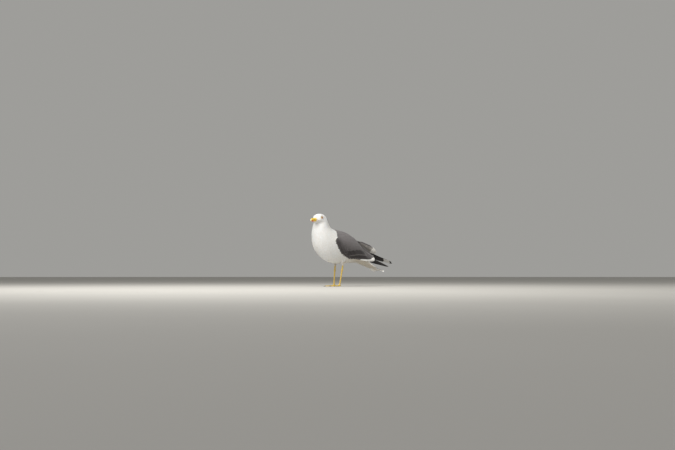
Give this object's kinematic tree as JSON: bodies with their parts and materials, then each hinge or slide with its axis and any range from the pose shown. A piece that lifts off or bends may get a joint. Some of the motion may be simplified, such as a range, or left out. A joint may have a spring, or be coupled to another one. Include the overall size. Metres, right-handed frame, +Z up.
{
  "type": "standing gull",
  "caption": "Life-size gull standing on webbed feet, white with slate back and folded wings, black wing tips and a yellow bill, its head turned to its left.",
  "frame": {"origin": "centre of the bounding box's underside, level with the soles", "axes": "-X the way the breast faces, -Y the bird's left, +Z up"},
  "size_m": [0.558, 0.1466, 0.373],
  "materials": {
    "white_plumage": "soft white feathers",
    "slate_plumage": "smooth slate-grey feathers",
    "black_plumage": "close black flight feathers",
    "bill_horn": "smooth yellow horn",
    "iris": "wet pale-yellow eye",
    "leg_skin": "scaled yellow skin",
    "claw_horn": "dark horn"
  },
  "bodies": {
    "root": {"head": "white_plumage", "left_eye": "iris", "left_foot": "leg_skin", "left_hind_claw": "claw_horn", "left_inner_claw": "claw_horn", "left_leg": "leg_skin", "left_middle_claw": "claw_horn", "left_outer_claw": "claw_horn", "left_primaries": "black_plumage", "left_thigh": "white_plumage", "left_wing": "slate_plumage", "lower_bill": "bill_horn", "neck": "white_plumage", "right_eye": "iris", "right_foot": "leg_skin", "right_hind_claw": "claw_horn", "right_inner_claw": "claw_horn", "right_leg": "leg_skin", "right_middle_claw": "claw_horn", "right_outer_claw": "claw_horn", "right_primaries": "black_plumage", "right_thigh": "white_plumage", "right_wing": "slate_plumage", "tail": "white_plumage", "trunk": "white_plumage", "upper_bill": "bill_horn"}
  },
  "joints": []
}
